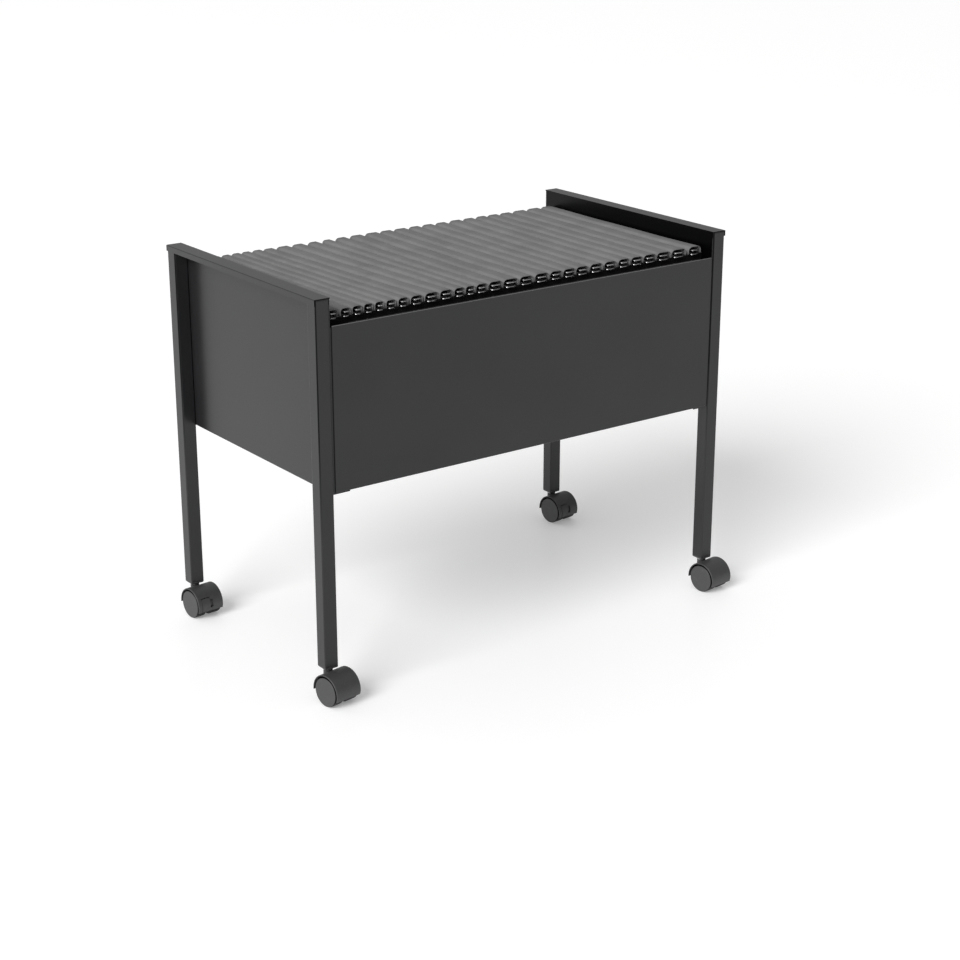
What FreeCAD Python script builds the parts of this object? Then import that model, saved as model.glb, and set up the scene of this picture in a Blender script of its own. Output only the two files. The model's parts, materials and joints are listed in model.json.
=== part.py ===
import FreeCAD, Part
import os
from math import cos, radians, sin

doc = FreeCAD.newDocument("file_trolley")
dims = doc.addObject("Spreadsheet::Sheet", "dims")

# overall sizes in millimetres; x runs along the long side, y from front to back, z up from the floor
sizes = {
    "long_side": 670, "short_side": 378, "mid_y": 16, "total_height": 535, "under_leg": 45,
    "tube": 20, "tube_wall": 1.5, "tube_round": 2, "plug_head": 3, "plug_depth": 22,
    "sheet_wall": 1.2, "lip_drop": 8, "flange_wide": 25, "hem_wide": 10,
    "panel_top": 499, "panel_tall": 216, "panel_gap": 3, "low_fold": 12, "top_fold": 4, "top_lip": 14,
    "side_drop": 2,
    "rail_spacing": 330, "rail_wall": 3, "rail_top": 503.2, "rail_tall": 20, "rail_tab": 15,
    "ridge_top": 514, "ridge_low": 503.5, "card_wall": 0.8, "ridge_long": 342, "pocket_long": 320,
    "shoulder_low": 491.5, "pocket_low": 288, "pocket_wide": 2.4,
    "bar_long": 348, "bar_top": 508.6, "bar_low": 503.6, "bar_wall": 1.2, "tip_from": 167.6,
    "tip_low": 501.6,
    "wheel_rad": 20, "trail": 16.9, "castor_wide": 40.5, "wheel_gap": 5.5, "wheel_round": 1.8,
    "hood_in": 22.4, "hood_out": 23.8, "web_wide": 10.4, "stem_rad": 4, "stem_up": 62, "stem_low": 17,
    "collar_rad": 6.5, "collar_tall": 2.4, "pin_rad": 2.5, "pin_long": 34, "run_gap": 0.05,
    "lever_wide": 3, "slot_wide": 3.8, "window_left": 14.4, "window_wide": 13.8, "side_slot": 4.6,
    "pad_gap": 0.4, "pad_proud": 0.5,
    "turn_fl": 9, "turn_rl": 4.5, "turn_fr": 6.5, "turn_rr": 5.5,
}
# each hanging file: centre along x, width of its ridge, and its turn on the rails in degrees
file_rows = [
    (-302.0, 15.9, 0.95), (-284.2, 15.4, 1.39), (-267.4, 15.6, 1.54), (-251.2, 14.8, 1.62),
    (-235.2, 14.8, 1.77), (-218.6, 15.6, 1.97), (-201.0, 16.5, 2.22), (-181.1, 20.1, 2.49),
    (-158.2, 22.9, 2.53), (-134.3, 21.6, 2.2), (-112.0, 18.0, 1.55), (-91.6, 15.6, 0.5),
    (-71.0, 19.6, -0.35), (-46.6, 23.2, -1.0), (-20.9, 24.6, -1.25), (4.4, 23.1, -1.11),
    (29.4, 24.1, -0.92), (53.4, 21.7, -1.06), (76.5, 21.8, -1.24), (100.0, 21.9, -1.52),
    (124.4, 22.9, -1.8), (148.9, 22.1, -1.75), (172.3, 21.2, -1.52), (195.3, 22.2, -1.4),
    (218.9, 23.2, -1.45), (244.4, 25.7, -1.52), (271.4, 26.0, -1.45), (299.1, 22.8, -0.8),
]
for number, row in enumerate(file_rows, 1):
    for key, value in zip(("file_mid_", "file_wide_", "file_turn_"), row):
        sizes["%s%02d" % (key, number)] = value
for line, (alias, value) in enumerate(sizes.items(), 1):
    dims.set("A%d" % line, alias)
    dims.set("B%d" % line, str(value))
    dims.setAlias("B%d" % line, alias)
doc.recompute()

front = "(dims.mid_y - dims.short_side / 2)"
back = "(dims.mid_y + dims.short_side / 2)"
half = "(dims.long_side / 2)"
leg_top = "(dims.total_height - dims.sheet_wall)"
panel_low = "(dims.panel_top - dims.panel_tall)"
parts = []


def bind(item, cells):
    for name, formula in cells.items():
        item.setExpression(name, str(formula))
    return item


def place(item, x, y, z):
    return bind(item, {"Placement.Base.x": x, "Placement.Base.y": y, "Placement.Base.z": z})


def box(name, size, corner):
    item = doc.addObject("Part::Box", name)
    bind(item, dict(zip(("Length", "Width", "Height"), size)))
    return place(item, *corner)


def round_bar(name, radius, height, corner):
    item = doc.addObject("Part::Cylinder", name)
    bind(item, {"Radius": radius, "Height": height})
    return place(item, *corner)


# a round bar or a pie slice whose axis lies along x; the start angle is counted from +y towards +z
def cross_bar(name, radius, length, start_x, start=0, sweep=360):
    item = doc.addObject("Part::Cylinder", name)
    upright = FreeCAD.Rotation(FreeCAD.Vector(1, 1, 1), 120)
    item.Placement.Rotation = FreeCAD.Rotation(FreeCAD.Vector(1, 0, 0), start).multiply(upright)
    item.Angle = sweep
    bind(item, {"Radius": radius, "Height": length})
    return place(item, start_x, 0, 0)


def fuse(name, pieces):
    item = doc.addObject("Part::MultiFuse", name)
    item.Shapes = pieces
    item.Refine = True
    return item


def cut(name, base, tool):
    item = doc.addObject("Part::Cut", name)
    item.Base = base
    item.Tool = tool
    item.Refine = True
    return item


def soften(name, base, radius, chosen):
    doc.recompute()
    item = doc.addObject("Part::Fillet", name)
    item.Base = base
    edges = [k for k, edge in enumerate(base.Shape.Edges, 1) if chosen(edge)]
    item.Edges = [(k, radius, radius) for k in edges]
    return item


def group(name, pieces):
    item = doc.addObject("Part::Compound", name)
    item.Links = pieces
    return item


# turns an item about the vertical through its own origin
def turn_upright(item, degrees):
    item.Placement.Rotation = FreeCAD.Rotation(FreeCAD.Vector(0, 0, 1), 1)
    return bind(item, {"Placement.Rotation.Angle": degrees})


def finish(item, label):
    item.Label = label
    parts.append(item)
    return item


def runs_along(edge, axis):
    ends = [vertex.Point for vertex in edge.Vertexes]
    if len(ends) != 2:
        return False
    way = ends[1] - ends[0]
    return way.Length > 1e-6 and abs(way[axis]) > 0.999 * way.Length


def at_height(edge, level):
    return all(abs(vertex.Z - level) < 1e-6 for vertex in edge.Vertexes)


# square tube standing on its plug, with the castor stem's socket on its centre line
def make_leg(label, left, front_side):
    x = "-%s" % half if left else "%s - dims.tube" % half
    y = front if front_side else "%s - dims.tube" % back
    low = "dims.under_leg + dims.plug_head"
    tall = "%s - dims.under_leg - dims.plug_head" % leg_top
    outer = box(label + "_outer", ("dims.tube", "dims.tube", tall), (x, y, low))
    rounded = soften(label + "_round", outer, sizes["tube_round"], lambda edge: runs_along(edge, 2))
    inside = "dims.tube - 2 * dims.tube_wall"
    inner = box(label + "_inner", (inside, inside, tall + " + 2"),
                (x + " + dims.tube_wall", y + " + dims.tube_wall", low + " - 1"))
    finish(cut(label, rounded, inner), label)


def make_plug(name, left, front_side):
    x = "-%s" % half if left else "%s - dims.tube" % half
    y = front if front_side else "%s - dims.tube" % back
    head = box(name + "_head", ("dims.tube", "dims.tube", "dims.plug_head"), (x, y, "dims.under_leg"))
    upright = soften(name + "_sides", head, sizes["tube_round"], lambda edge: runs_along(edge, 2))
    soft = soften(name + "_soft", upright, 1.8, lambda edge: at_height(edge, sizes["under_leg"]))
    inside = "dims.tube - 2 * dims.tube_wall"
    shank = box(name + "_shank", (inside, inside, "dims.plug_depth"),
                (x + " + dims.tube_wall", y + " + dims.tube_wall", "dims.under_leg + dims.plug_head"))
    socket = round_bar(name + "_socket", "dims.stem_rad", "60",
                       (x + " + dims.tube / 2", y + " + dims.tube / 2", "dims.under_leg - 10"))
    return cut(name, fuse(name + "_solid", [soft, shank]), socket)


# pin in the plug with the collar that carries the castor
def make_stem(name, left, front_side):
    x = "-%s + dims.tube / 2" % half if left else "%s - dims.tube / 2" % half
    y = front + " + dims.tube / 2" if front_side else back + " - dims.tube / 2"
    pin = round_bar(name + "_pin", "dims.stem_rad", "dims.stem_up - dims.stem_low", (x, y, "dims.stem_low"))
    collar = round_bar(name + "_collar", "dims.collar_rad", "dims.collar_tall",
                       (x, y, "dims.under_leg - dims.collar_tall"))
    return fuse(name, [pin, collar])


# sheet on the inner faces of two legs, folded outwards over their tops and down as a short lip
def make_side_panel(label, left):
    side = -1 if left else 1
    wall = "dims.sheet_wall"
    low = "%s - dims.side_drop" % panel_low

    def spot(inner, wide):
        start = "%s - dims.tube - (%s)" % (half, inner)
        return "-(%s)" % start if left else "%s - (%s)" % (start, wide)

    sheet = box(label + "_sheet", (wall, "dims.short_side - 3.2", "dims.total_height - (%s)" % low),
                (spot("0", wall), front + " + 1.6", low))
    top = box(label + "_top", ("dims.tube + 2 * dims.sheet_wall", "dims.short_side", wall),
              (spot("-dims.tube - dims.sheet_wall", "dims.tube + 2 * dims.sheet_wall"), front, leg_top))
    lip = box(label + "_lip", (wall, "dims.short_side", "dims.lip_drop"),
              (spot("-dims.tube - dims.sheet_wall", wall), front, "dims.total_height - dims.lip_drop"))
    flanges = []
    for word, y in (("front", front + " + 1.6"), ("rear", back + " - 1.6 - dims.sheet_wall")):
        tall = "dims.panel_top - 2.5 - (%s)" % low
        flanges.append(box("%s_%s" % (label, word), ("dims.flange_wide", wall, tall),
                           (spot("0", "dims.flange_wide"), y, low)))
    hem = box(label + "_hem", ("dims.hem_wide", "dims.short_side - 40", wall),
              (spot("0", "dims.hem_wide"), front + " + 20", low))
    body = fuse(label + "_folded", [sheet, top, lip, hem] + flanges)
    reach = sizes["long_side"] / 2 + sizes["sheet_wall"]
    bend = lambda edge: (runs_along(edge, 1) and at_height(edge, sizes["total_height"])
                         and abs(edge.Vertexes[0].X - side * reach) < 1e-6)
    finish(soften(label, body, 1.1, bend), label)


# flat sheet between two legs with folded top and bottom edges, notched for the side panels' flanges
def make_long_panel(label, front_side):
    wall = "dims.sheet_wall"
    wide = "dims.long_side - 2 * dims.tube - 2 * dims.panel_gap"
    fold_wide = "dims.long_side - 2 * dims.tube - 2 * dims.flange_wide - 8"
    outer = front if front_side else back + " - dims.sheet_wall"
    sheet = box(label + "_sheet", (wide, wall, "dims.panel_tall"), ("-(%s) / 2" % wide, outer, panel_low))
    folds = []
    for word, level in (("top", "dims.panel_top - dims.sheet_wall"), ("low", panel_low)):
        fold_y = front if front_side else "%s - dims.%s_fold" % (back, word)
        folds.append(box("%s_%s_fold" % (label, word), (fold_wide, "dims.%s_fold" % word, wall),
                         ("-(%s) / 2" % fold_wide, fold_y, level)))
    lip_y = front + " + dims.top_fold - dims.sheet_wall" if front_side else back + " - dims.top_fold"
    lip = box(label + "_lip", (fold_wide, wall, "dims.top_lip"),
              ("-(%s) / 2" % fold_wide, lip_y, "dims.panel_top - dims.top_lip"))
    body = fuse(label + "_folded", [sheet, lip] + folds)
    face = sizes["mid_y"] + (-1 if front_side else 1) * sizes["short_side"] / 2
    low = sizes["panel_top"] - sizes["panel_tall"]
    bend = lambda edge: (runs_along(edge, 0) and abs(edge.Vertexes[0].Y - face) < 1e-6
                         and (at_height(edge, sizes["panel_top"]) or at_height(edge, low)))
    finish(soften(label, body, 0.9, bend), label)


# bar that the files hang on, with an upright tab at each end against the side panel
def make_rail(label, front_side):
    length = "dims.long_side - 2 * dims.tube - 2 * dims.sheet_wall"
    y = "dims.mid_y - dims.rail_spacing / 2" if front_side else "dims.mid_y + dims.rail_spacing / 2"
    bar = box(label + "_bar", (length, "dims.rail_wall", "dims.rail_tall"),
              ("-(%s) / 2" % length, y + " - dims.rail_wall / 2", "dims.rail_top - dims.rail_tall"))
    rounded = soften(label + "_soft", bar, 1.0,
                     lambda edge: runs_along(edge, 0) and at_height(edge, sizes["rail_top"]))
    tabs = []
    for word, x in (("left", "-(%s) / 2" % length), ("right", "(%s) / 2 - dims.sheet_wall" % length)):
        start = y if front_side else y + " - dims.rail_tab"
        size = ("dims.sheet_wall", "dims.rail_tab", "dims.rail_tall - 6")
        tabs.append(box("%s_%s_tab" % (label, word), size, (x, start, "dims.rail_top - dims.rail_tall")))
    finish(fuse(label, [rounded] + tabs), label)


# arched ridge of card with its shoulder folded in to the width of the pocket
def make_ridge(name, number):
    wide = "dims.file_wide_%02d" % number
    width = file_rows[number - 1][1]
    crown = min(0.36 * width, 8.8)
    arch = box(name + "_arch", (wide, "dims.ridge_long", "dims.ridge_top - dims.ridge_low"),
               ("-%s / 2" % wide, "-dims.ridge_long / 2", "dims.ridge_low"))
    outer = soften(name + "_arch_round", arch, crown,
                   lambda edge: runs_along(edge, 1) and at_height(edge, sizes["ridge_top"]))
    ceiling = sizes["ridge_top"] - sizes["card_wall"]
    hollow = box(name + "_hollow", (wide + " - 2 * dims.card_wall", "dims.ridge_long + 4",
                                    "dims.ridge_top - dims.ridge_low - dims.card_wall + 2"),
                 ("-%s / 2 + dims.card_wall" % wide, "-dims.ridge_long / 2 - 2", "dims.ridge_low - 2"))
    inner = soften(name + "_hollow_round", hollow, crown - sizes["card_wall"],
                   lambda edge: runs_along(edge, 1) and at_height(edge, ceiling))
    shoulder = doc.addObject("Part::Wedge", name + "_shoulder")
    shoulder.Placement.Rotation = FreeCAD.Rotation(FreeCAD.Vector(1, 0, 0), -90)
    bind(shoulder, {"Xmin": "-%s / 2" % wide, "Xmax": "%s / 2" % wide, "Ymin": "0",
                    "Ymax": "dims.ridge_low - dims.shoulder_low", "Zmin": "-dims.pocket_long / 2",
                    "Zmax": "dims.pocket_long / 2", "X2min": "-dims.pocket_wide / 2",
                    "X2max": "dims.pocket_wide / 2", "Z2min": "-dims.pocket_long / 2",
                    "Z2max": "dims.pocket_long / 2"})
    place(shoulder, 0, 0, "dims.ridge_low")
    return fuse(name, [cut(name + "_shell", outer, inner), shoulder])


# two leaves of card pressed flat together
def make_pocket(name):
    return box(name, ("dims.pocket_wide", "dims.pocket_long", "dims.shoulder_low - dims.pocket_low"),
               ("-dims.pocket_wide / 2", "-dims.pocket_long / 2", "dims.pocket_low"))


# steel channel inside the ridge, open to one side; past each rail its lower strip steps down to a flat tip
def make_hanger(name, number):
    reach = "(dims.file_wide_%02d / 2 - 3)" % number
    wide = "1.6 * %s" % reach
    left = "-%s" % reach
    wall = "dims.bar_wall"
    lower_long = "2 * dims.tip_from + 2 * dims.bar_wall"
    tip_long = "dims.bar_long / 2 - dims.tip_from"
    riser_tall = "dims.bar_low + dims.bar_wall - dims.tip_low"
    upper = box(name + "_upper", (wide, "dims.bar_long", wall),
                (left, "-dims.bar_long / 2", "dims.bar_top - dims.bar_wall"))
    lower = box(name + "_lower", (wide, lower_long, wall),
                (left, "-(%s) / 2" % lower_long, "dims.bar_low"))
    web = box(name + "_web", (wall, "dims.pocket_long", "dims.bar_top - dims.bar_low"),
              (left + " + %s - dims.bar_wall" % wide, "-dims.pocket_long / 2", "dims.bar_low"))
    ends = []
    for word, riser_y, tip_y in (("front", "-dims.tip_from - dims.bar_wall", "-dims.bar_long / 2"),
                                 ("rear", "dims.tip_from", "dims.tip_from")):
        end = "%s_%s" % (name, word)
        ends.append(box(end + "_riser", (wide, wall, riser_tall), (left, riser_y, "dims.tip_low")))
        ends.append(box(end + "_tip", (wide, tip_long, wall), (left, tip_y, "dims.tip_low")))
    return fuse(name, [upper, lower, web] + ends)


def make_file(number):
    label = "file_%02d" % number
    item = group(label, [make_ridge(label + "_ridge", number), make_pocket(label + "_pocket"),
                         make_hanger(label + "_hanger", number)])
    turn_upright(item, "dims.file_turn_%02d" % number)
    place(item, "dims.file_mid_%02d" % number, "dims.mid_y", 0)
    finish(item, label)


# cover over both wheels with the web between them; its origin is the middle of the axle
def make_hood(name, braked):
    start, sweep = -5, 203
    wide = "dims.castor_wide"
    shell_out = cross_bar(name + "_out", "dims.hood_out", wide, "-%s / 2" % wide, start, sweep)
    soft = soften(name + "_out_soft", shell_out, 0.9, lambda edge: hasattr(edge.Curve, "Radius"))
    shell_in = cross_bar(name + "_in", "dims.hood_in", wide + " + 4", "-%s / 2 - 2" % wide)
    shell = cut(name + "_shell", soft, shell_in)
    web = cross_bar(name + "_web", "dims.hood_in + 0.3", "dims.web_wide",
                    "-dims.web_wide / 2", start, sweep)
    hub = cross_bar(name + "_hub", "7", "dims.web_wide", "-dims.web_wide / 2")
    neck = round_bar(name + "_neck", "dims.web_wide / 2", "18", (0, "dims.trail", "-4.5"))
    head = round_bar(name + "_head", "dims.collar_rad - 0.3", "12.3",
                     (0, "dims.trail", "dims.under_leg - dims.collar_tall - 0.3 - dims.wheel_rad - 12.3"))
    well = cross_bar(name + "_well", "dims.hood_in", "40", "-20")
    solid = fuse(name + "_solid", [shell, web, hub, neck, cut(name + "_cap", head, well)])
    stem_hole = round_bar(name + "_stem_hole", "dims.stem_rad + dims.run_gap", "60",
                          (0, "dims.trail", "dims.stem_low - 0.3 - dims.wheel_rad"))
    pin_hole = cross_bar(name + "_pin_hole", "dims.pin_rad", "60", "-30")
    tools = [stem_hole, pin_hole]
    if braked:
        tools.append(cross_bar(name + "_slot", "30", "dims.slot_wide", "-dims.slot_wide / 2", 181, 42))
        tools.append(cross_bar(name + "_ring", "5.6", "dims.slot_wide", "-dims.slot_wide / 2"))
        tools.append(make_window(name + "_window"))
    return cut(name, solid, fuse(name + "_holes", tools))


# opening in a cover's front for the brake pad, down to the cover's edge; beside it a short slot, and under
# the slot room for the pad's foot
def make_window(name):
    pad_side = cross_bar(name + "_pad_side", "30", "dims.window_wide", "-dims.window_left", 147, 60)
    slot_x = "dims.window_wide - dims.window_left - 0.1"
    beside = cross_bar(name + "_beside", "30", "dims.side_slot", slot_x, 157, 26)
    foot_long = "dims.slot_wide / 2 - (%s)" % slot_x
    under = cross_bar(name + "_under", "30", foot_long, slot_x, 182, 25)
    kept = cross_bar(name + "_kept", "dims.hood_in - 0.6", "60", "-30")
    return cut(name, fuse(name + "_solid", [pad_side, beside, under]), kept)


# disc with a rounded rim, closed on its outer face; its origin is the middle of the axle
def make_wheel(name):
    thick = "dims.castor_wide / 2 - dims.wheel_gap"
    disc = cross_bar(name + "_disc", "dims.wheel_rad", thick, "dims.wheel_gap")
    face = sizes["castor_wide"] / 2
    rim = soften(name + "_rim", disc, sizes["wheel_round"],
                 lambda edge: hasattr(edge.Curve, "Radius") and edge.Vertexes[0].X > face - 1)
    deep = "dims.pin_long / 2 + 0.5 - dims.wheel_gap + 1"
    hole = cross_bar(name + "_hole", "dims.pin_rad + dims.run_gap", deep, "dims.wheel_gap - 1")
    return cut(name, rim, hole)


# foot lever that turns on the axle: arm in the web's slot, curved pad and its foot in the window
def make_lever(name):
    width = "dims.lever_wide"
    ring = cross_bar(name + "_ring", "5.1", width, "-%s / 2" % width)
    arm = cross_bar(name + "_arm", "dims.hood_in + 0.5", width, "-%s / 2" % width, 185, 11)
    pad_wide = "dims.window_wide - 2 * dims.pad_gap"
    outer = "dims.hood_out + dims.pad_proud"
    pad_out = cross_bar(name + "_pad_out", outer, pad_wide, "dims.pad_gap - dims.window_left", 149.5, 46.5)
    foot_x = "dims.window_wide - dims.window_left - dims.pad_gap - 0.1"
    foot = cross_bar(name + "_foot", outer, "%s / 2 - (%s)" % (width, foot_x), foot_x, 185, 11)
    pad_in = cross_bar(name + "_pad_in", "dims.hood_in - 0.2", "60", "-30")
    hole = cross_bar(name + "_hole", "dims.pin_rad + dims.run_gap", "20", "-10")
    pad = cut(name + "_pad", fuse(name + "_pad_whole", [pad_out, foot]), pad_in)
    return cut(name, fuse(name + "_solid", [ring, arm, pad]), hole)


# a piece built about its own axle, set at a castor's place and turned with it about the stem
def at_castor(label, source, corner, extra=0):
    left, front_side = corner[1] == "l", corner[0] == "f"
    turn = "dims.turn_%s" % corner
    x = "-%s + dims.tube / 2" % half if left else "%s - dims.tube / 2" % half
    y = front + " + dims.tube / 2" if front_side else back + " - dims.tube / 2"
    item = turn_upright(group(label, [source]), "%s + %d" % (turn, extra))
    place(item, "%s + dims.trail * sin(%s * 1 deg)" % (x, turn),
          "%s - dims.trail * cos(%s * 1 deg)" % (y, turn), "dims.wheel_rad")
    finish(item, label)


corners = {"fl": (True, True), "fr": (False, True), "rl": (True, False), "rr": (False, False)}
words = {"fl": "front_left", "fr": "front_right", "rl": "rear_left", "rr": "rear_right"}

for corner, (left, front_side) in corners.items():
    make_leg("leg_" + words[corner], left, front_side)
plugs = [make_plug("plug_" + corner, *flags) for corner, flags in corners.items()]
finish(group("leg_plugs", plugs), "leg_plugs")
make_side_panel("side_panel_left", True)
make_side_panel("side_panel_right", False)
make_long_panel("front_panel", True)
make_long_panel("rear_panel", False)
make_rail("front_rail", True)
make_rail("rear_rail", False)
stems = [make_stem("stem_" + corner, *flags) for corner, flags in corners.items()]
finish(group("castor_stems", stems), "castor_stems")

plain_hood = make_hood("hood_plain", False)
braked_hood = make_hood("hood_braked", True)
wheel = make_wheel("wheel")
lever = make_lever("lever")
axle = cross_bar("axle", "dims.pin_rad", "dims.pin_long", "-dims.pin_long / 2")
for corner in corners:
    braked = corner[0] == "r"
    at_castor("castor_%s_hood" % corner, braked_hood if braked else plain_hood, corner)
    at_castor("castor_%s_axle" % corner, axle, corner)
    at_castor("castor_%s_wheel_right" % corner, wheel, corner)
    at_castor("castor_%s_wheel_left" % corner, wheel, corner, 180)
    if braked:
        at_castor("castor_%s_brake" % corner, lever, corner)

for number in range(1, len(file_rows) + 1):
    make_file(number)

doc.recompute()
faults = [item.Label for item in doc.Objects if "Invalid" in item.State or "Error" in item.State]
if faults:
    raise RuntimeError("objects in error: %s" % faults)
os.makedirs("parts", exist_ok=True)
whole = FreeCAD.BoundBox()
for item in parts:
    if not item.Shape.isValid():
        raise RuntimeError("invalid shape: %s" % item.Label)
    item.Shape.exportStep("parts/%s.step" % item.Label)
    whole.add(item.Shape.BoundBox)
    print("%-26s solids %d  volume %9.1f" % (item.Label, len(item.Shape.Solids), item.Shape.Volume))
print("nodes %d, whole box %s" % (len(parts), whole))
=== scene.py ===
import bpy
import json
import numpy as np
from math import cos, pi, radians, sin
from mathutils import Euler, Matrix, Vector


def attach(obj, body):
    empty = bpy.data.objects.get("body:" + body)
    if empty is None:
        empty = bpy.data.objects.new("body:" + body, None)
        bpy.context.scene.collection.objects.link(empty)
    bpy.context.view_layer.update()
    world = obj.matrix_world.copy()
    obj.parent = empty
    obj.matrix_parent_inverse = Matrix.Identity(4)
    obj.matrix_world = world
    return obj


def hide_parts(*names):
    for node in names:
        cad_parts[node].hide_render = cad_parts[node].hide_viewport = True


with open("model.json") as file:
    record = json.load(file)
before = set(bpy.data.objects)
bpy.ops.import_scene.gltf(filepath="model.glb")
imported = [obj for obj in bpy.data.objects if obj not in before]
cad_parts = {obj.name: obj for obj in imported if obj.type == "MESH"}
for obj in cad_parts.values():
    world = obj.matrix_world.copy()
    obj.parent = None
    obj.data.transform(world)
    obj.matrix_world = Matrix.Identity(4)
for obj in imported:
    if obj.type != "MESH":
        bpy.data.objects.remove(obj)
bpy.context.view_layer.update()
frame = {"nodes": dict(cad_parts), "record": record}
nodes = frame["nodes"]
record = frame["record"]
print("stage 1: frame loaded,", len(nodes), "nodes")


# ---- shader wiring
class Wire:
    # one output socket; arithmetic on it adds Math nodes
    def __init__(self, tree, socket):
        self.tree = tree
        self.socket = socket

    def join(self, operation, first, second):
        node = self.tree.nodes.new("ShaderNodeMath")
        node.operation = operation
        for slotNumber, value in enumerate((first, second)):
            if isinstance(value, Wire):
                self.tree.links.new(value.socket, node.inputs[slotNumber])
            else:
                node.inputs[slotNumber].default_value = value
        return Wire(self.tree, node.outputs[0])

    def __add__(self, other):
        return self.join("ADD", self, other)

    def __radd__(self, other):
        return self.join("ADD", other, self)

    def __sub__(self, other):
        return self.join("SUBTRACT", self, other)

    def __rsub__(self, other):
        return self.join("SUBTRACT", other, self)

    def __mul__(self, other):
        return self.join("MULTIPLY", self, other)

    def __rmul__(self, other):
        return self.join("MULTIPLY", other, self)


# ---- camera, light and floor
cameraSet = {
    "spot": (-1.530, -2.1354, 1.113),  # metres, in the object's own frame
    "yaw": 36.3,                       # degrees from looking along +y, turned towards +x
    "pitch": 19.43,                    # degrees below the horizon
    "lens": 73.3,
}
lightSet = {
    "level": 0.36, "lean": (-0.14, 0.14, 0.20), "least": 0.03,
    "key": {"towards": (1.0, 0.38, -0.72), "spread": 36, "power": 2.9},
}
floorSet = {"reach": 40.0, "tone": 0.87, "shine": 0.35, "glow": 0.22}


def makeCamera(s):
    data = bpy.data.cameras.new("camera")
    data.lens = s["lens"]
    data.sensor_width = 36
    data.clip_end = 200
    cam = bpy.data.objects.new("camera", data)
    cam.location = s["spot"]
    cam.rotation_euler = Euler((radians(90 - s["pitch"]), 0, radians(-s["yaw"])))
    bpy.context.scene.collection.objects.link(cam)
    bpy.context.scene.camera = cam


def makeSoftLight(name, s):
    data = bpy.data.lights.new(name, "SUN")
    data.angle = radians(s["spread"])
    data.energy = s["power"]
    lamp = bpy.data.objects.new(name, data)
    lamp.rotation_euler = Vector(s["towards"]).to_track_quat("-Z", "Y").to_euler()
    bpy.context.scene.collection.objects.link(lamp)


# one soft lamp and a sky whose glow changes evenly with direction:
# glow = level + lean . direction, never below its floor
def makeSky(s):
    world = bpy.data.worlds.new("studio")
    world.use_nodes = True
    tree = world.node_tree
    split = tree.nodes.new("ShaderNodeSeparateXYZ")
    tree.links.new(tree.nodes.new("ShaderNodeTexCoord").outputs["Generated"], split.inputs["Vector"])
    glow = Wire(tree, split.outputs["X"]) * s["lean"][0] + s["level"]
    glow = glow + Wire(tree, split.outputs["Y"]) * s["lean"][1]
    glow = glow + Wire(tree, split.outputs["Z"]) * s["lean"][2]
    glow = glow.join("MAXIMUM", glow, s["least"])
    tree.links.new(glow.socket, tree.nodes["Background"].inputs["Color"])
    bpy.context.scene.world = world


makeCamera(cameraSet)
makeSoftLight("keyLight", lightSet["key"])
makeSky(lightSet)
bpy.context.scene.view_settings.view_transform = "Standard"


class Finish:
    # a material with one Principled shader; put() adds any other node
    def __init__(self, name, shine, **steady):
        self.material = bpy.data.materials.new(name)
        self.material.use_nodes = True
        self.tree = self.material.node_tree
        self.shader = self.tree.nodes["Principled BSDF"]
        self.shader.inputs["Roughness"].default_value = shine
        for socket, value in steady.items():
            self.shader.inputs[socket.replace("_", " ")].default_value = value
        self.place = self.put("ShaderNodeTexCoord")
        self.point = self.place.outputs["Object"]

    def put(self, kind, settings=None, **sockets):
        node = self.tree.nodes.new(kind)
        for key, value in (settings or {}).items():
            if key == "stops":
                ramp = node.color_ramp.elements
                while len(ramp) < len(value):
                    ramp.new(0.5)
                for stop, (where, tone) in zip(ramp, value):
                    stop.position = where
                    stop.color = (tone, tone, tone, 1)
            else:
                setattr(node, key, value)
        for key, value in sockets.items():
            self.feed(node.inputs[key.replace("_", " ")], value)
        return node

    def feed(self, socket, value):
        if isinstance(value, Wire):
            self.tree.links.new(value.socket, socket)
        elif isinstance(value, bpy.types.NodeSocket):
            self.tree.links.new(value, socket)
        else:
            socket.default_value = value

    def noise(self, scale, stretch=(1, 1, 1), detail=3.0):
        turned = self.put("ShaderNodeMapping", Vector=self.point, Scale=stretch)
        made = self.put("ShaderNodeTexNoise", Vector=turned.outputs["Vector"], Scale=scale,
                        Detail=detail, Roughness=0.55)
        return Wire(self.tree, made.outputs["Fac"])

    def ramp(self, wire, stops):
        return Wire(self.tree, self.put("ShaderNodeValToRGB", {"stops": stops}, Fac=wire).outputs["Color"])

    def blend(self, mask, first, second):
        node = self.put("ShaderNodeMix", {"data_type": "RGBA"})
        self.feed(node.inputs["Factor"], mask)
        self.feed(node.inputs[6], first)
        self.feed(node.inputs[7], second)
        return node.outputs[2]

    def facing(self, axis):
        surface = self.put("ShaderNodeNewGeometry")
        split = self.put("ShaderNodeSeparateXYZ", Vector=surface.outputs["Normal"])
        return Wire(self.tree, split.outputs[axis])

    def along(self, axis):
        return Wire(self.tree, self.put("ShaderNodeSeparateXYZ", Vector=self.point).outputs[axis])

    def wear(self, colour, rough=None, relief=None, depth=0.0001, strength=0.3):
        self.feed(self.shader.inputs["Base Color"], colour)
        if rough is not None:
            self.feed(self.shader.inputs["Roughness"], rough)
        if relief is not None:
            bump = self.put("ShaderNodeBump", Height=relief, Distance=depth, Strength=strength)
            self.feed(self.shader.inputs["Normal"], bump.outputs["Normal"])
        return self.material


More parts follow.
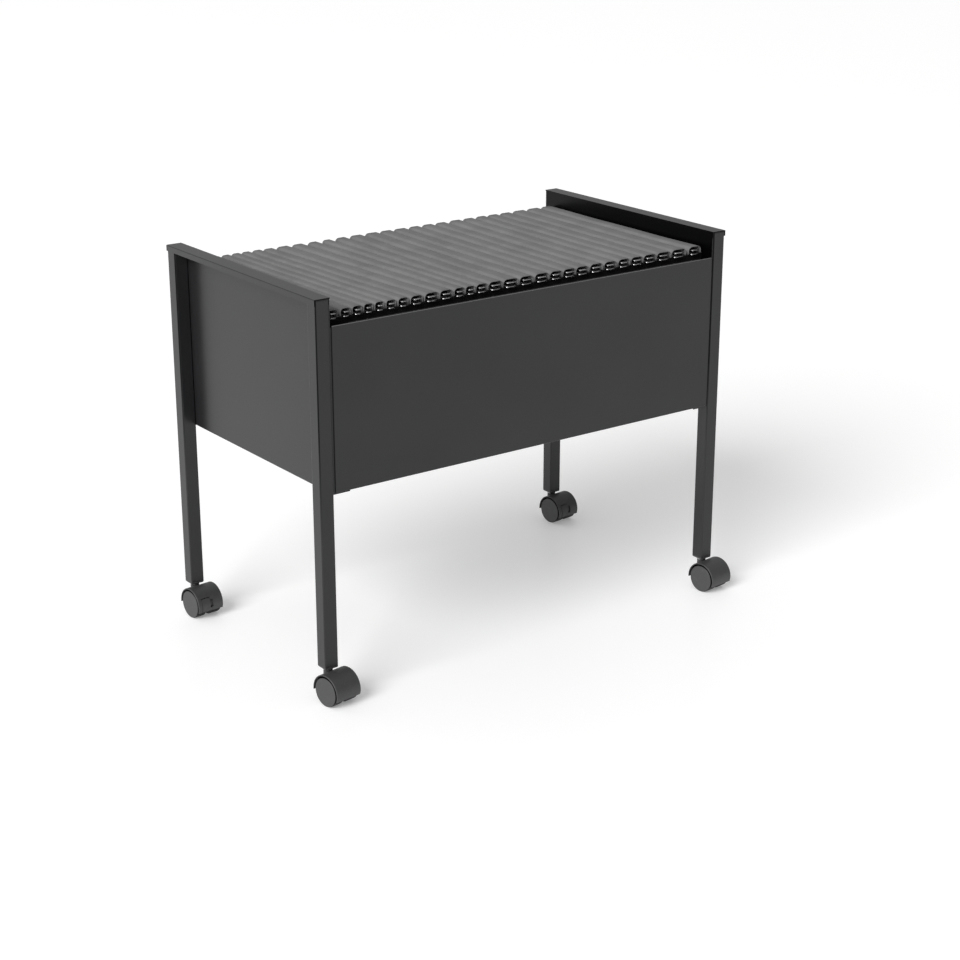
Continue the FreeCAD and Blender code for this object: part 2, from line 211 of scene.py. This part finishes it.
# satin powder coat: a fine orange peel, a thin veil of dust where a face looks up, which also stands as
# painted light on upward faces, and a painted highlight along a panel's top fold; cut sheet ends, a side
# panel's inner face, the tubes' upright corners and the seam under the cap get painted shade
def makePowderCoat(name, s, paintedShadeWhere=None):
    f = Finish(name, s["shine"], Specular_IOR_Level=s["gleam"])
    peel = f.noise(520, detail=2.0)
    cloud = f.noise(7, detail=4.0)
    speck = f.noise(2200, detail=1.0)
    tone = f.blend(f.ramp(cloud, ((0.3, 0.0), (0.7, 1.0))), (*s["dark"], 1), (*s["light"], 1))
    upward, endOn, sideOn = f.facing("Z"), f.facing("Y"), f.facing("X")
    # upward faces go paler: part dust, part painted top light
    dustAndTopLight = f.ramp(upward, ((0.75, 0.0), (1.0, 1.0))) * (0.15 + 0.25 * speck)
    colour = f.blend(dustAndTopLight, tone, (*s["dustAndTopLight"], 1))
    # painted highlight: faces whose normals lean between level and upright, the rounded top folds, turn pale
    fold = f.ramp(endOn * endOn * upward, ((0.08, 0.0), (0.25, 1.0)))
    colour = f.blend(fold, colour, (*s["fold"], 1))
    if paintedShadeWhere:
        height = f.along("Z")
        if paintedShadeWhere == "ends":
            # painted shade on the cap's cut end faces, the faces turned along y above capLow
            mask = f.ramp(height, ((s["capLow"], 0.0), (s["capLow"] + 0.001, 1.0)))
            mask = mask * f.ramp(endOn * endOn, ((0.8, 0.0), (0.95, 1.0)))
            # painted shade on a side panel's inner face
            inward = -3 * sideOn * f.along("X")
            mask = mask.join("MAXIMUM", mask, f.ramp(inward, ((0.7, 0.0), (0.9, 0.85))))
        else:
            # painted shade along the tubes' upright corners, growing with height
            corner = f.ramp(sideOn * sideOn * endOn * endOn, ((0.04, 0.0), (0.15, 1.0)))
            mask = corner * f.ramp(height, ((s["cornerLow"], 0.0), (s["cornerFull"], 0.85)))
            # painted shadow line across a tube's front face just under the cap
            seam = f.ramp(height, ((s["seam"], 0.0), (s["seam"] + 0.0006, 1.0)))
            mask = mask.join("MAXIMUM", mask, endOn * endOn * seam)
        # the painted shade darkens the colour and, as Metallic, dims the coat's reflections
        colour = f.blend(mask, colour, (*s["shade"], 1))
        f.feed(f.shader.inputs["Metallic"], mask)
    return f.wear(colour, s["shine"] - 0.04 + 0.08 * cloud, peel + 0.4 * speck, 0.00008)


# moulded castor plastic: finer grain, with scuffs stretched round the rolling direction; a wheel's tread,
# whose normals lie across the axle, is near-black and metallic: painted shade for the dark gap between wheel
# and hood
def makeCastorPlastic(name, s, treaded=False):
    f = Finish(name, 0.42, Specular_IOR_Level=0.5)
    grain = f.noise(1400, detail=2.0)
    scuff = f.noise(160, stretch=(6, 1, 1), detail=5.0)
    mask = f.ramp(scuff, ((0.55, 0.0), (0.75, 1.0)))
    colour = f.blend(mask * 0.6, (*s["dark"], 1), (*s["scuff"], 1))
    if treaded:
        outward = f.put("ShaderNodeSeparateXYZ", Vector=f.place.outputs["Normal"]).outputs["X"]
        outward = Wire(f.tree, outward)
        # painted shade: the tread turns near-black and metallic, so it reflects little
        treadShade = f.ramp(outward * outward, ((0.25, 1.0), (0.6, 0.0)))
        colour = f.blend(treadShade, colour, (*s["tread"], 1))
        f.feed(f.shader.inputs["Metallic"], treadShade)
    return f.wear(colour, 0.36 + 0.22 * scuff, grain)


# grey card: fibres lying along the ridge and faint mottling
def makeCard(s):
    f = Finish("greyCard", 0.78, Specular_IOR_Level=0.3)
    fibre = f.noise(900, stretch=(1, 0.12, 1), detail=3.0)
    mottle = f.noise(24, detail=4.0)
    tone = f.blend(f.ramp(mottle, ((0.35, 0.0), (0.65, 1.0))), (*s["dark"], 1), (*s["light"], 1))
    flecks = f.ramp(fibre, ((0.35, 0.0), (0.7, 1.0)))
    colour = f.blend(flecks * 0.35, tone, (*s["fleck"], 1))
    return f.wear(colour, 0.7 + 0.15 * fibre, fibre)


# zinc-plated steel: drawn along its length, with a few dull patches; on the hangers, painted shade darkens
# the steel inside a ridge and on their side-facing cut edges
def makeBrightSteel(s, inside=None):
    f = Finish("hangerSteelPaintedShade" if inside else "brightSteel", 0.28, Metallic=1.0)
    drawn = f.noise(1600, stretch=(1, 0.03, 1), detail=2.0)
    patch = f.noise(60, detail=3.0)
    colour = f.blend(f.ramp(patch, ((0.4, 0.0), (0.7, 1.0))), (*s["bright"], 1), (*s["dull"], 1))
    if inside:
        middle, reach = inside
        # painted shade: steel within the ridge's length goes dark, as if shaded by the card
        off = f.along("Y") - middle
        colour = f.blend((off * off).join("LESS_THAN", off * off, reach ** 2), colour, (*s["hangerShade"], 1))
        # painted shade on faces turned along x, the web and the strips' cut edges
        edgeOn = f.facing("X")
        colour = f.blend(f.ramp(edgeOn * edgeOn, ((0.5, 0.0), (0.8, 1.0))), colour, (*s["hangerShade"], 1))
    return f.wear(colour, 0.2 + 0.25 * drawn, drawn, 0.00005, 0.25)


# plain pale floor paint, faintly mottled, with a little even glow of its own
def makeFloorPaint(s):
    f = Finish("floorPaint", s["shine"], Specular_IOR_Level=0.12, Emission_Color=(1, 1, 1, 1),
               Emission_Strength=s["glow"])
    cloud = f.noise(0.8, detail=2.0)
    return f.wear(f.blend(cloud, (s["tone"] * 0.99,) * 3 + (1,), (s["tone"],) * 3 + (1,)))


# the pale tone for upward faces is dust and painted top light, the fold tone a painted highlight, the darkest
# tone painted shade
coatSet = {
    "dark": (0.011, 0.011, 0.012), "light": (0.015, 0.015, 0.016), "dustAndTopLight": (0.03, 0.03, 0.03),
    "shine": 0.30, "gleam": 0.42, "fold": (0.13, 0.13, 0.13), "shade": (0.005, 0.005, 0.005),
    "capLow": 0.526, "cornerLow": 0.22, "cornerFull": 0.36, "seam": 0.5322,
}
# the tread tone is the near-black of the wheels' painted shade
castorSet = {"dark": (0.042, 0.042, 0.043), "scuff": (0.075, 0.075, 0.075), "tread": (0.004, 0.004, 0.004)}
cardSet = {"dark": (0.13, 0.13, 0.13), "light": (0.16, 0.16, 0.16), "fleck": (0.20, 0.20, 0.20)}
# the darkest steel tone is painted shade for the hangers
steelSet = {"bright": (0.54, 0.54, 0.55), "dull": (0.38, 0.38, 0.38), "hangerShade": (0.06, 0.06, 0.06)}
powderCoat = makePowderCoat("powderCoat", coatSet)
# these coats add painted shade: the side panels' cut ends and inner faces, the legs' corners and cap seam
cappedCoatPaintedShade = makePowderCoat("cappedCoatPaintedShade", coatSet, "ends")
tubeCoatPaintedShade = makePowderCoat("tubeCoatPaintedShade", coatSet, "corners")
castorPlastic = makeCastorPlastic("castorPlastic", castorSet)
wheelPlasticTreadShade = makeCastorPlastic("wheelPlasticTreadShade", castorSet, True)
greyCard = makeCard(cardSet)
brightSteel = makeBrightSteel(steelSet)
hangerSteelPaintedShade = makeBrightSteel(steelSet, (0.016, 0.1708))
finishFor = {"black_steel": powderCoat, "castor_plastic": castorPlastic, "bright_steel": brightSteel,
             "grey_card": greyCard}
for part in record["subparts"]:
    coat = finishFor[part["material_slot"]]
    if part["node"].startswith("side_panel"):
        coat = cappedCoatPaintedShade
    elif part["node"].startswith("leg_") and coat is powderCoat:
        coat = tubeCoatPaintedShade
    elif "_wheel_" in part["node"]:
        coat = wheelPlasticTreadShade
    nodes[part["node"]].data.materials.clear()
    nodes[part["node"]].data.materials.append(coat)


def makeFloor(s):
    reach = s["reach"]
    mesh = bpy.data.meshes.new("floor")
    corners = [(-reach, -reach, 0), (reach, -reach, 0), (reach, reach, 0), (-reach, reach, 0)]
    mesh.from_pydata(corners, [], [(0, 1, 2, 3)])
    mesh.materials.append(makeFloorPaint(s))
    floor = bpy.data.objects.new("floor", mesh)
    bpy.context.scene.collection.objects.link(floor)


makeFloor(floorSet)
print("stage 2: camera, light, floor and finishes")


# ---- surfaces from grids
# several grids of points, each with shape (rows, columns, 3), as one mesh of quads
def meshFromGrids(name, grids, material):
    points, faces, start = [], [], 0
    for grid in grids:
        rows, columns = grid.shape[:2]
        first = start + np.arange(rows - 1)[:, None] * columns + np.arange(columns - 1)[None, :]
        quads = np.stack([first, first + 1, first + 1 + columns, first + columns], -1)
        faces.append(quads.reshape(-1, 4))
        points.append(grid.reshape(-1, 3))
        start += rows * columns
    mesh = bpy.data.meshes.new(name)
    mesh.from_pydata(np.concatenate(points).tolist(), [], np.concatenate(faces).tolist())
    mesh.polygons.foreach_set("use_smooth", [True] * len(mesh.polygons))
    mesh.materials.append(material)
    made = bpy.data.objects.new(name, mesh)
    bpy.context.scene.collection.objects.link(made)
    return made


# gives a surface its wall, inwards from the points
def thicken(made, wall):
    change = made.modifiers.new("wall", "SOLIDIFY")
    change.thickness = wall
    change.offset = -1
    change.use_even_offset = True
    return made


# points spread evenly along a line of corners
def evenly(line, count):
    line = np.array(line, float)
    steps = np.r_[0, np.cumsum(np.linalg.norm(np.diff(line, axis=0), axis=1))]
    where = np.linspace(0, steps[-1], count)
    return np.stack([np.interp(where, steps, line[:, k]) for k in range(line.shape[1])], -1)


def arc(centre, radius, fromDegrees, toDegrees, count):
    turn = np.radians(np.linspace(fromDegrees, toDegrees, count))
    return np.stack([centre[0] + radius * np.cos(turn), centre[1] + radius * np.sin(turn)], -1)


# ---- suspension files
fileSet = {
    "cardWall": 0.0006, "crownShare": 0.30, "crownMost": 0.0062,
    "ridgeHalf": 0.1708, "pocketHalf": 0.160, "ridgeTop": 0.5139, "ridgeLow": 0.5035,
    "shoulderLow": 0.4915, "pocketLow": 0.288, "leafGap": 0.0011,
    "rowsAlong": 30, "sag": 0.0006, "ripple": 0.0002, "wander": 0.0004, "pinch": 0.012, "bow": 0.0012,
    "neckIn": 0.0004, "neckShare": 0.55, "neckDrop": 0.0075, "neckStraight": 0.012,
}
hangerSet = {
    "half": 0.174, "top": 0.5086, "low": 0.5036, "wall": 0.0012, "bend": 0.0012,
    "stepAt": 0.1676, "tipLow": 0.5016, "webHalf": 0.160, "inset": 0.003, "rightShare": 0.6,
}


# turns (x, y) by the file's own angle and moves it to the file's centre
def settle(x, y, centre, turn):
    return centre[0] + cos(turn) * x - sin(turn) * y, centre[1] + sin(turn) * x + cos(turn) * y


# carries flat (across, up) points along y: row r sits at along[r]; the whole is then settled in its place
def carry(profile, along, centre, turn, swell=None):
    grid = np.zeros((len(along), len(profile), 3))
    grid[:, :, 0] = profile[None, :, 0]
    grid[:, :, 1] = along[:, None]
    grid[:, :, 2] = profile[None, :, 1]
    if swell is not None:
        grid = swell(grid)
    grid[:, :, 0], grid[:, :, 1] = settle(grid[:, :, 0].copy(), grid[:, :, 1].copy(), centre, turn)
    return grid


# ridge: up one side, round the crown and down the other; height = crown line - sag * (1 - (y / half)^2)
# + a slow wave, so no two crowns are quite level. Pocket: shoulder in, leaf down, round the fold and back up
def makeCardFolder(name, wide, centre, turn, seed, s):
    rng = np.random.default_rng(seed)
    half = wide / 2
    crown = min(s["crownShare"] * wide, s["crownMost"])
    top = s["ridgeTop"]
    ridge = np.concatenate([
        evenly([(-half, s["ridgeLow"]), (-half, top - crown)], 5)[:-1],
        arc((-half + crown, top - crown), crown, 180, 90, 10),
        arc((half - crown, top - crown), crown, 90, 0, 10),
        evenly([(half, top - crown), (half, s["ridgeLow"])], 5)[1:],
    ])
    along = np.linspace(-s["ridgeHalf"], s["ridgeHalf"], s["rowsAlong"])
    phase, wave = rng.uniform(0, 2 * pi, 3), rng.uniform(0.5, 1.0, 2)
    lean = rng.uniform(-1, 1) * s["wander"]

    def relax(grid):
        share = np.clip((grid[:, :, 2] - s["ridgeLow"]) / (top - s["ridgeLow"]), 0, 1)
        y = grid[:, :, 1] / s["ridgeHalf"]
        slump = s["sag"] * (1 - y ** 2) * wave[0] + s["ripple"] * (1 + np.sin(7 * y + phase[0]))
        grid[:, :, 2] -= share * slump
        grid[:, :, 0] += share * (lean + s["wander"] * 0.6 * np.sin(3.1 * y + phase[1]))
        grid[:, :, 0] *= 1 - s["pinch"] * wave[1] * (1 + np.cos(5 * y + phase[2]))
        return grid

    gap = s["leafGap"]
    bottom = s["pocketLow"]
    shoulder = evenly([(-half + s["neckIn"], s["ridgeLow"] + s["neckIn"]),
                       (-half * s["neckShare"], s["ridgeLow"] - s["neckDrop"]),
                       (-gap, s["shoulderLow"]), (-gap, s["shoulderLow"] - s["neckStraight"])], 14)
    leaf = evenly([shoulder[-1], (-gap, bottom + gap)], 18)[1:]
    fold = arc((0, bottom + gap), gap, 180, 270, 5)[1:]
    leftSide = np.concatenate([shoulder, leaf, fold])
    rightSide = leftSide[::-1][1:] * np.array([-1, 1])
    pocketLine = np.concatenate([leftSide, rightSide])
    alongPocket = np.linspace(-s["pocketHalf"], s["pocketHalf"], s["rowsAlong"])

    def belly(grid):
        drop = np.clip((s["shoulderLow"] - grid[:, :, 2]) / (s["shoulderLow"] - bottom), 0, 1)
        y = grid[:, :, 1] / s["pocketHalf"]
        grid[:, :, 0] += s["bow"] * np.sin(pi * drop) * np.sin(2.2 * y + phase[2])
        return grid

    made = meshFromGrids(name, [carry(ridge, along, centre, turn, relax),
                                carry(pocketLine, alongPocket, centre, turn, belly)], greyCard)
    return thicken(made, s["cardWall"])


# hanger: a channel (upper strip, round bend, web, round bend, lower strip) open towards -x; past the web both
# strips run on alone, the lower one stepping down to a flat tip behind the rail
def makeHanger(name, wide, centre, turn, s):
    reach = wide / 2 - s["inset"]
    right = s["rightShare"] * reach
    top, low, bend, wall = s["top"], s["low"], s["bend"], s["wall"]
    channelLine = np.concatenate([
        evenly([(-reach, top), (right - bend, top)], 5)[:-1],
        arc((right - bend, top - bend), bend, 90, 0, 6),
        arc((right - bend, low + bend), bend, 0, -90, 6),
        evenly([(right - bend, low), (-reach, low)], 5)[1:],
    ])
    grids = [carry(channelLine, np.linspace(-s["webHalf"], s["webHalf"], 12), centre, turn)]
    half, stepAt, tipLow, web = s["half"], s["stepAt"], s["tipLow"], s["webHalf"]
    upperEnd = np.array([(web, top), (half - 0.0004, top), (half, top - 0.0003)])
    lowerEnd = np.concatenate([
        [(web, low + wall)],
        arc((stepAt - 0.0006, low + wall - 0.0006), 0.0006, 90, 0, 5),
        [(stepAt, tipLow + wall + 0.0005), (stepAt + 0.0005, tipLow + wall), (half, tipLow + wall)],
    ])
    across = np.linspace(-reach, right - 0.0003, 4)
    for side in (-1, 1):
        for line in (upperEnd, lowerEnd):
            grid = np.zeros((len(line), len(across), 3))
            grid[:, :, 0], grid[:, :, 1] = settle(across[None, :], line[:, :1] * side, centre, turn)
            grid[:, :, 2] = line[:, 1:]
            grids.append(grid[:, ::-1] if side > 0 else grid)
    return thicken(meshFromGrids(name, grids, hangerSteelPaintedShade), wall)


def fileShape(node):
    # width, centre and turn of a file, read back from its CAD mesh; the turn follows the pocket's foot
    co = np.array([v.co for v in nodes[node].data.vertices])
    low, high = co.min(0), co.max(0)
    mid = (low + high) / 2
    foot = co[co[:, 2] < low[2] + 1e-4]
    front = foot[foot[:, 1] < foot[:, 1].min() + 0.002].mean(0)
    rear = foot[foot[:, 1] > foot[:, 1].max() - 0.002].mean(0)
    way = rear - front
    turn = np.arctan2(-way[0], way[1])
    across = (co[:, 0] - (front[0] + rear[0]) / 2) * np.cos(turn) + (co[:, 1] - mid[1]) * np.sin(turn)
    centre = ((front[0] + rear[0]) / 2, mid[1])
    return float(across.max() - across.min()), centre, float(turn)


def makeFiles():
    for part in sorted(n for n in nodes if n.startswith("file_")):
        wide, centre, turn = fileShape(part)
        body = part + "_body"
        card = makeCardFolder(part + ".card", wide, centre, turn, int(part[-2:]), fileSet)
        hanger = makeHanger(part + ".hanger", wide, centre, turn, hangerSet)
        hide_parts(part)
        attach(card, body)
        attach(hanger, body)


makeFiles()
print("stage 3: suspension files")
